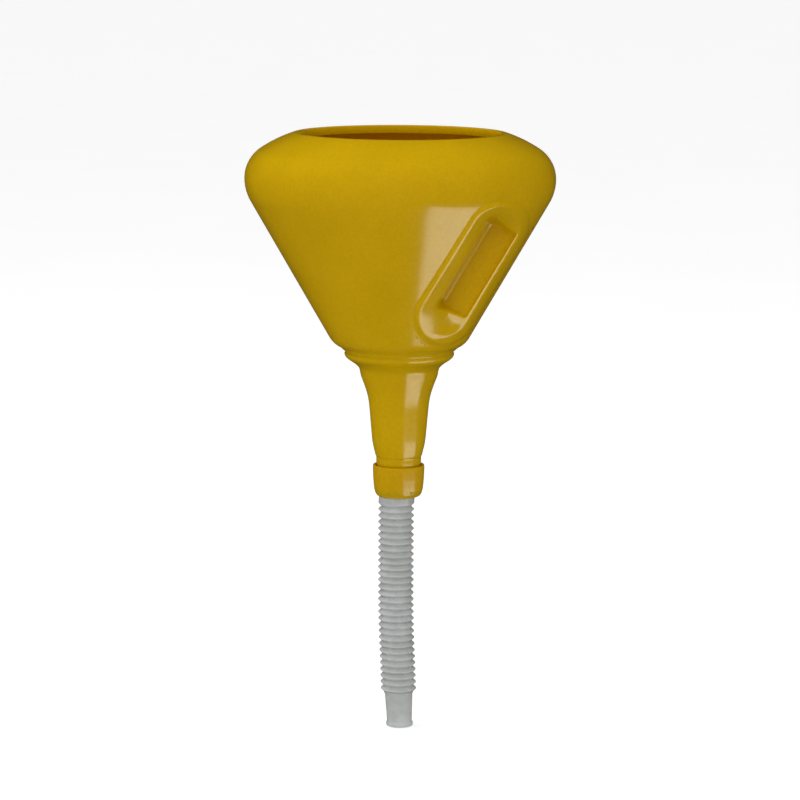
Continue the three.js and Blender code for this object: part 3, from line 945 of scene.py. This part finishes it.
def moulded_yellow(name, light, dark, specular, roughness):
    """Blow-moulded polyethylene: faintly mottled colour over a fine orange-peel surface."""
    material, tree, shader = new_material(name)
    cloudy = add_noise(tree, 14, 4)
    mottle = add_noise(tree, 420, 3, 0.6)
    base = add_ramp(tree, cloudy.outputs["Fac"], 0.3, 0.7, (dark, light))
    speck = add_ramp(tree, mottle.outputs["Fac"], 0.35, 0.68, ((0.94,) * 3, (1.04,) * 3))
    tint = tree.nodes.new("ShaderNodeMix")
    tint.data_type = "RGBA"
    tint.blend_type = "MULTIPLY"
    tint.inputs[0].default_value = 1
    tree.links.new(base, tint.inputs[6])
    tree.links.new(speck, tint.inputs[7])
    tree.links.new(tint.outputs[2], shader.inputs["Base Color"])
    gloss = add_range(tree, cloudy.outputs["Fac"], roughness - 0.05, roughness + 0.06)
    tree.links.new(gloss, shader.inputs["Roughness"])
    shader.inputs["Specular IOR Level"].default_value = specular
    shader.inputs["Subsurface Weight"].default_value = 0.5
    shader.inputs["Subsurface Radius"].default_value = (1.0, 0.8, 0.02)
    shader.inputs["Subsurface Scale"].default_value = 0.004
    peel = add_noise(tree, 800, 2, 0.5)
    waves = add_noise(tree, 90, 2, 0.5)
    add_bump(tree, [(waves.outputs["Fac"], 0.05), (peel.outputs["Fac"], 0.035)], shader)
    return material


def spout_grey():
    """Milky soft polyethylene: light scatters in it, and its colour is faintly cloudy."""
    material, tree, shader = new_material("spout_polyethylene")
    cloudy = add_noise(tree, 60, 4)
    fine = add_noise(tree, 700, 2)
    colour = add_ramp(tree, cloudy.outputs["Fac"], 0.3, 0.7, ((0.55, 0.57, 0.545), (0.70, 0.72, 0.71)))
    tree.links.new(colour, shader.inputs["Base Color"])
    tree.links.new(add_range(tree, cloudy.outputs["Fac"], 0.2, 0.34), shader.inputs["Roughness"])
    shader.inputs["Subsurface Weight"].default_value = 0.6
    shader.inputs["Subsurface Radius"].default_value = (1.0, 1.0, 0.95)
    shader.inputs["Subsurface Scale"].default_value = 0.003
    shader.inputs["Specular IOR Level"].default_value = 0.5
    add_bump(tree, [(cloudy.outputs["Fac"], 0.12), (fine.outputs["Fac"], 0.02)], shader)
    return material


def frame_black():
    material, tree, shader = new_material("strainer_frame_black")
    cloudy = add_noise(tree, 80, 4)
    grain = add_noise(tree, 1500, 2)
    blacks = ((0.016, 0.017, 0.019), (0.032, 0.033, 0.036))
    colour = add_ramp(tree, cloudy.outputs["Fac"], 0.3, 0.75, blacks)
    tree.links.new(colour, shader.inputs["Base Color"])
    tree.links.new(add_range(tree, grain.outputs["Fac"], 0.4, 0.6), shader.inputs["Roughness"])
    add_bump(tree, [(grain.outputs["Fac"], 0.03)], shader)
    return material


def gauze_steel():
    material, tree, shader = new_material("gauze_steel")
    cloudy = add_noise(tree, 120, 3)
    colour = add_ramp(tree, cloudy.outputs["Fac"], 0.3, 0.7, ((0.42, 0.41, 0.38), (0.62, 0.61, 0.58)))
    tree.links.new(colour, shader.inputs["Base Color"])
    tree.links.new(add_range(tree, cloudy.outputs["Fac"], 0.28, 0.42), shader.inputs["Roughness"])
    shader.inputs["Metallic"].default_value = 1.0
    return material


def dress(piece, material):
    piece.data.materials.clear()
    piece.data.materials.append(material)


# ---------------------------------------------------------------- scene


def make_floor():
    mesh = bpy.data.meshes.new("floor")
    corners = [(x * FLOOR_HALF_SIZE, y * FLOOR_HALF_SIZE, 0) for x, y in ((-1, -1), (1, -1), (1, 1), (-1, 1))]
    mesh.from_pydata(corners, [], [(0, 1, 2, 3)])
    floor = bpy.data.objects.new("floor", mesh)
    bpy.context.scene.collection.objects.link(floor)
    floor.location.z = -FLOOR_GAP
    material, tree, shader = new_material("floor_paint")
    noise = add_noise(tree, 3, 3)
    paint = add_ramp(tree, noise.outputs["Fac"], 0.3, 0.7, ((0.88, 0.88, 0.88), (0.9, 0.9, 0.9)))
    tree.links.new(paint, shader.inputs["Base Color"])
    shader.inputs["Roughness"].default_value = 0.9
    shader.inputs["Specular IOR Level"].default_value = 0.1
    shader.inputs["Emission Color"].default_value = (1, 1, 1, 1)
    shader.inputs["Emission Strength"].default_value = 0.48
    floor.data.materials.append(material)
    floor.visible_glossy = False
    floor.visible_diffuse = False


def make_world():
    """White to the camera, soft light on surfaces, and nearly black in reflections."""
    world = bpy.data.worlds.new("studio")
    bpy.context.scene.world = world
    world.use_nodes = True
    tree = world.node_tree
    background = tree.nodes["Background"]
    path = tree.nodes.new("ShaderNodeLightPath")
    seen = add_mix(tree, path.outputs["Is Glossy Ray"], WORLD_DIFFUSE, WORLD_GLOSSY)
    seen = add_mix(tree, path.outputs["Is Camera Ray"], seen, WORLD_CAMERA)
    tree.links.new(seen, background.inputs["Color"])
    background.inputs["Strength"].default_value = 1.0


def add_area(name, place, target, size, power):
    """A soft light that is never seen itself, neither directly nor in a reflection."""
    light = bpy.data.lights.new(name, "AREA")
    light.shape = "RECTANGLE"
    light.size, light.size_y = size
    light.energy = power
    lamp = bpy.data.objects.new(name, light)
    bpy.context.scene.collection.objects.link(lamp)
    lamp.location = place
    lamp.rotation_euler = (Vector(target) - Vector(place)).to_track_quat("-Z", "Y").to_euler()
    lamp.visible_camera = False
    lamp.visible_glossy = False


def add_card(name, corners, strength):
    """A glowing card just over the floor that only shows in reflections."""
    mesh = bpy.data.meshes.new(name)
    mesh.from_pydata([(x, y, CARD_HEIGHT) for x, y in corners], [], [tuple(range(len(corners)))])
    card = bpy.data.objects.new(name, mesh)
    bpy.context.scene.collection.objects.link(card)
    material, tree, shader = new_material(name)
    shader.inputs["Base Color"].default_value = (0, 0, 0, 1)
    shader.inputs["Emission Color"].default_value = (1.0, 0.98, 0.9, 1)
    shader.inputs["Emission Strength"].default_value = strength
    card.data.materials.append(material)
    card.visible_camera = False
    card.visible_diffuse = False
    card.visible_shadow = False


def make_camera():
    camera = bpy.data.cameras.new("camera")
    holder = bpy.data.objects.new("camera", camera)
    bpy.context.scene.collection.objects.link(holder)
    camera.sensor_width = 36
    camera.lens = CAMERA_LENS
    camera.clip_end = 200
    level = Matrix.Rotation(math.pi / 2 - math.radians(CAMERA_TILT), 4, "X")
    turn = level @ Matrix.Rotation(math.radians(CAMERA_ROLL), 4, "Z")
    holder.matrix_world = Matrix.Translation((CAMERA_SIDE, -CAMERA_BACK, (MOUTH_Z + CAMERA_RISE) * MM)) @ turn
    bpy.context.scene.camera = holder


def main():
    yellow = moulded_yellow("bowl_polyethylene", (0.74, 0.46, 0.0), (0.67, 0.415, 0.0), 0.45, 0.17)
    orange = moulded_yellow("collar_polyethylene", (0.74, 0.43, 0.0), (0.67, 0.39, 0.0), 0.45, 0.2)
    grey = spout_grey()

    body = make_body()
    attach(body, "funnel")
    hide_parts("funnel_body")
    dress(body, yellow)

    collar = make_collar()
    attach(collar, "collar")
    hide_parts("spout_collar")
    dress(collar, orange)

    for piece in make_spout():
        dress(piece, grey)

    ring = make_strainer_frame()
    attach(ring, "strainer")
    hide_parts("strainer_frame")
    dress(ring, frame_black())

    gauze = make_gauze()
    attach(gauze, "strainer")
    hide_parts("strainer_gauze")
    dress(gauze, gauze_steel())

    bpy.context.scene.view_settings.view_transform = "Standard"
    make_world()
    make_floor()
    make_camera()
    add_area("overhead", (-1.0, 0.2, 2.2), (0, 0, 0.4), (1.8, 1.8), 13)
    add_area("front", (-0.5, -3.0, 1.6), (0, 0, 0.35), (1.6, 1.6), 24)
    add_card("floor_card", CARD_CORNERS, CARD_STRENGTH)


main()
